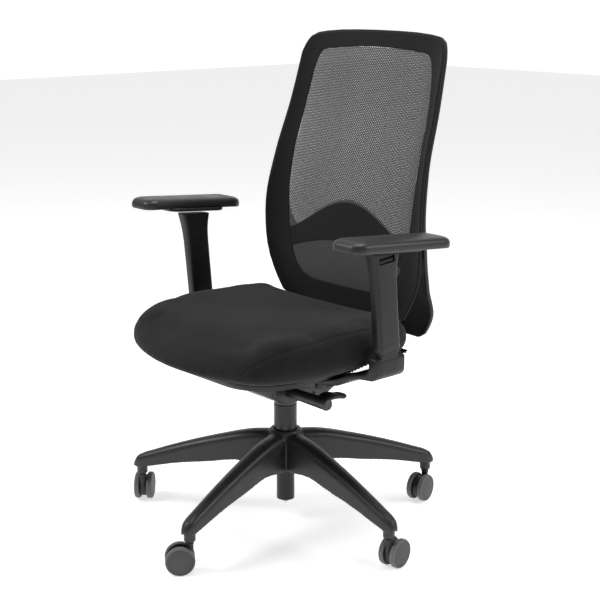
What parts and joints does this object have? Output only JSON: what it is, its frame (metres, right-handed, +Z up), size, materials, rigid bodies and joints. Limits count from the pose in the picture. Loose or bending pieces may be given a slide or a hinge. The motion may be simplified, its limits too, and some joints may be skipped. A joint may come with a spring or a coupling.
{
  "type": "swivel office chair",
  "caption": "Swivel office chair with a mesh back, upholstered seat, height-adjustable arm rests, gas lift and a star base on twin-wheel casters.",
  "frame": {"origin": "on the floor, under the axis of the gas lift", "axes": "+Z up; the sitter faces -Y; +X is the sitter's left"},
  "size_m": [0.73, 0.7072, 1.039],
  "materials": {
    "base_nylon": "black glass-filled nylon, fine spark texture, satin",
    "frame_nylon": "black nylon, fine texture, matte",
    "arm_nylon": "black nylon, satin",
    "black_steel": "black powder-coated steel, satin",
    "steel": "zinc-plated steel",
    "bush": "black acetal",
    "caster_nylon": "dark nylon, slightly brown, matte",
    "wheel": "dark grey nylon disc with a softer, lighter tread",
    "grey_cap": "mid grey moulded plastic",
    "seat_fabric": "charcoal-black woven polyester over foam",
    "back_mesh": "charcoal knitted mesh with a dense knitted border",
    "pad_foam": "black self-skinned polyurethane, soft sheen"
  },
  "bodies": {
    "base": {"star_base": "base_nylon", "gas_cylinder": "black_steel", "guide_bush": "bush", "thrust_bearing": "steel", "caster_stem_1": "steel", "caster_stem_2": "steel", "caster_stem_3": "steel", "caster_stem_4": "steel", "caster_stem_5": "steel"},
    "caster_1": {"caster_hood_1": "caster_nylon", "caster_axle_1": "steel"},
    "wheel_1a": {"caster_wheel_1a": "wheel"},
    "wheel_1b": {"caster_wheel_1b": "wheel"},
    "caster_2": {"caster_hood_2": "caster_nylon", "caster_axle_2": "steel"},
    "wheel_2a": {"caster_wheel_2a": "wheel"},
    "wheel_2b": {"caster_wheel_2b": "wheel"},
    "caster_3": {"caster_hood_3": "caster_nylon", "caster_axle_3": "steel"},
    "wheel_3a": {"caster_wheel_3a": "wheel"},
    "wheel_3b": {"caster_wheel_3b": "wheel"},
    "caster_4": {"caster_hood_4": "caster_nylon", "caster_axle_4": "steel"},
    "wheel_4a": {"caster_wheel_4a": "wheel"},
    "wheel_4b": {"caster_wheel_4b": "wheel"},
    "caster_5": {"caster_hood_5": "caster_nylon", "caster_axle_5": "steel"},
    "wheel_5a": {"caster_wheel_5a": "wheel"},
    "wheel_5b": {"caster_wheel_5b": "wheel"},
    "lift_rod": {"piston_rod": "steel", "rod_clip": "steel"},
    "lift": {"gas_spindle": "black_steel", "mechanism_housing": "base_nylon", "tilt_pin": "steel", "recline_pin": "steel", "tension_spring": "steel"},
    "valve": {"valve_pin": "steel"},
    "height_lever": {"height_lever": "base_nylon", "lever_cap": "grey_cap"},
    "tension_grip": {"tension_grip": "base_nylon"},
    "tilt_lock": {"tilt_lock_lever": "base_nylon"},
    "seat": {"seat_plate": "black_steel", "seat_pan": "frame_nylon", "seat_cushion": "seat_fabric", "arm_bracket_left": "arm_nylon", "arm_bracket_right": "arm_nylon"},
    "back": {"back_bracket": "frame_nylon", "rear_frame": "frame_nylon", "back_frame": "frame_nylon", "back_cover": "back_mesh"},
    "arm_left": {"arm_sleeve_left": "arm_nylon"},
    "trigger_left": {"arm_trigger_left": "arm_nylon"},
    "pad_swivel_left": {"pad_base_left": "arm_nylon"},
    "pad_left": {"arm_pad_left": "pad_foam"},
    "arm_right": {"arm_sleeve_right": "arm_nylon"},
    "trigger_right": {"arm_trigger_right": "arm_nylon"},
    "pad_swivel_right": {"pad_base_right": "arm_nylon"},
    "pad_right": {"arm_pad_right": "pad_foam"}
  },
  "joints": [
    {"name": "caster_swivel_1", "type": "hinge", "parent": "base", "child": "caster_1", "pos_m": [0.33429, -0.02185, 0.05], "axis": [0, 0, 1], "continuous": true},
    {"name": "wheel_spin_1a", "type": "hinge", "parent": "caster_1", "child": "wheel_1a", "pos_m": [0.3315, -0.00205, 0.03], "axis": [-0.9903, -0.1392, 0], "continuous": true},
    {"name": "wheel_spin_1b", "type": "hinge", "parent": "caster_1", "child": "wheel_1b", "pos_m": [0.3315, -0.00205, 0.03], "axis": [-0.9903, -0.1392, 0], "continuous": true},
    {"name": "caster_swivel_2", "type": "hinge", "parent": "base", "child": "caster_2", "pos_m": [0.12408, 0.31117, 0.05], "axis": [0, 0, 1], "continuous": true},
    {"name": "wheel_spin_2a", "type": "hinge", "parent": "caster_2", "child": "wheel_2a", "pos_m": [0.12858, 0.29169, 0.03], "axis": [0.9744, 0.225, 0], "continuous": true},
    {"name": "wheel_spin_2b", "type": "hinge", "parent": "caster_2", "child": "wheel_2b", "pos_m": [0.12858, 0.29169, 0.03], "axis": [0.9744, 0.225, 0], "continuous": true},
    {"name": "caster_swivel_3", "type": "hinge", "parent": "base", "child": "caster_3", "pos_m": [-0.2576, 0.21417, 0.05], "axis": [0, 0, 1], "continuous": true},
    {"name": "wheel_spin_3a", "type": "hinge", "parent": "caster_3", "child": "wheel_3a", "pos_m": [-0.27639, 0.22101, 0.03], "axis": [-0.342, -0.9397, 0], "continuous": true},
    {"name": "wheel_spin_3b", "type": "hinge", "parent": "caster_3", "child": "wheel_3b", "pos_m": [-0.27639, 0.22101, 0.03], "axis": [-0.342, -0.9397, 0], "continuous": true},
    {"name": "caster_swivel_4", "type": "hinge", "parent": "base", "child": "caster_4", "pos_m": [-0.28329, -0.17881, 0.05], "axis": [0, 0, 1], "continuous": true},
    {"name": "wheel_spin_4a", "type": "hinge", "parent": "caster_4", "child": "wheel_4a", "pos_m": [-0.29693, -0.16418, 0.03], "axis": [-0.7314, -0.682, 0], "continuous": true},
    {"name": "wheel_spin_4b", "type": "hinge", "parent": "caster_4", "child": "wheel_4b", "pos_m": [-0.29693, -0.16418, 0.03], "axis": [-0.7314, -0.682, 0], "continuous": true},
    {"name": "caster_swivel_5", "type": "hinge", "parent": "base", "child": "caster_5", "pos_m": [0.08252, -0.32468, 0.05], "axis": [0, 0, 1], "continuous": true},
    {"name": "wheel_spin_5a", "type": "hinge", "parent": "caster_5", "child": "wheel_5a", "pos_m": [0.07105, -0.34106, 0.03], "axis": [0.8192, -0.5736, 0], "continuous": true},
    {"name": "wheel_spin_5b", "type": "hinge", "parent": "caster_5", "child": "wheel_5b", "pos_m": [0.07105, -0.34106, 0.03], "axis": [0.8192, -0.5736, 0], "continuous": true},
    {"name": "seat_swivel", "type": "hinge", "parent": "base", "child": "lift_rod", "pos_m": [0, 0, 0.05], "axis": [0, 0, 1], "continuous": true},
    {"name": "seat_height", "type": "slide", "parent": "lift_rod", "child": "lift", "axis": [0, 0, 1], "range_m": [0, 0.1]},
    {"name": "height_lever_turn", "type": "hinge", "parent": "lift", "child": "height_lever", "pos_m": [0.11, -0.035, 0.3055], "axis": [1, 0, 0], "range_deg": [0, 10], "stiffness_Nm_per_rad": 0.6, "springref_deg": -5.73},
    {"name": "valve_press", "type": "slide", "parent": "lift", "child": "valve", "axis": [0, 0, -1], "range_m": [0, 0.003]},
    {"name": "tension_turn", "type": "hinge", "parent": "lift", "child": "tension_grip", "pos_m": [0.09, -0.035, 0.3055], "axis": [1, 0, 0], "range_deg": [-360, 360]},
    {"name": "tilt_lock_turn", "type": "hinge", "parent": "lift", "child": "tilt_lock", "pos_m": [-0.11, -0.035, 0.3055], "axis": [1, 0, 0], "range_deg": [0, 25]},
    {"name": "back_recline", "type": "hinge", "parent": "lift", "child": "back", "pos_m": [0, 0.046, 0.304], "axis": [-1, 0, 0], "range_deg": [0, 20], "stiffness_Nm_per_rad": 60, "springref_deg": -17.19},
    {"name": "seat_tilt", "type": "hinge", "parent": "lift", "child": "seat", "pos_m": [0, -0.072, 0.312], "axis": [-1, 0, 0], "range_deg": [0, 8]},
    {"name": "arm_height_left", "type": "slide", "parent": "seat", "child": "arm_left", "axis": [0, -0.0889, 0.996], "range_m": [0, 0.07]},
    {"name": "trigger_press_left", "type": "slide", "parent": "arm_left", "child": "trigger_left", "axis": [-1, 0, 0], "range_m": [0, 0.003], "stiffness_N_per_m": 600, "springref_m": -0.002},
    {"name": "pad_turn_left", "type": "hinge", "parent": "arm_left", "child": "pad_swivel_left", "pos_m": [0.294, -0.012, 0.644], "axis": [0, 0.0837, 0.9965], "range_deg": [-15, 15]},
    {"name": "pad_slide_left", "type": "slide", "parent": "pad_swivel_left", "child": "pad_left", "axis": [0, -0.9965, 0.0837], "range_m": [-0.025, 0.025]},
    {"name": "arm_height_right", "type": "slide", "parent": "seat", "child": "arm_right", "axis": [0, -0.0889, 0.996], "range_m": [0, 0.07]},
    {"name": "trigger_press_right", "type": "slide", "parent": "arm_right", "child": "trigger_right", "axis": [1, 0, 0], "range_m": [0, 0.003], "stiffness_N_per_m": 600, "springref_m": -0.002},
    {"name": "pad_turn_right", "type": "hinge", "parent": "arm_right", "child": "pad_swivel_right", "pos_m": [-0.294, -0.012, 0.644], "axis": [0, 0.0837, 0.9965], "range_deg": [-15, 15]},
    {"name": "pad_slide_right", "type": "slide", "parent": "pad_swivel_right", "child": "pad_right", "axis": [0, -0.9965, 0.0837], "range_m": [-0.025, 0.025]}
  ],
  "couplings": [
    {"joint": "seat_tilt", "follows": "back_recline", "ratio": 0.4},
    {"joint": "valve_press", "follows": "height_lever_turn", "m_per_rad": 0.017189}
  ]
}
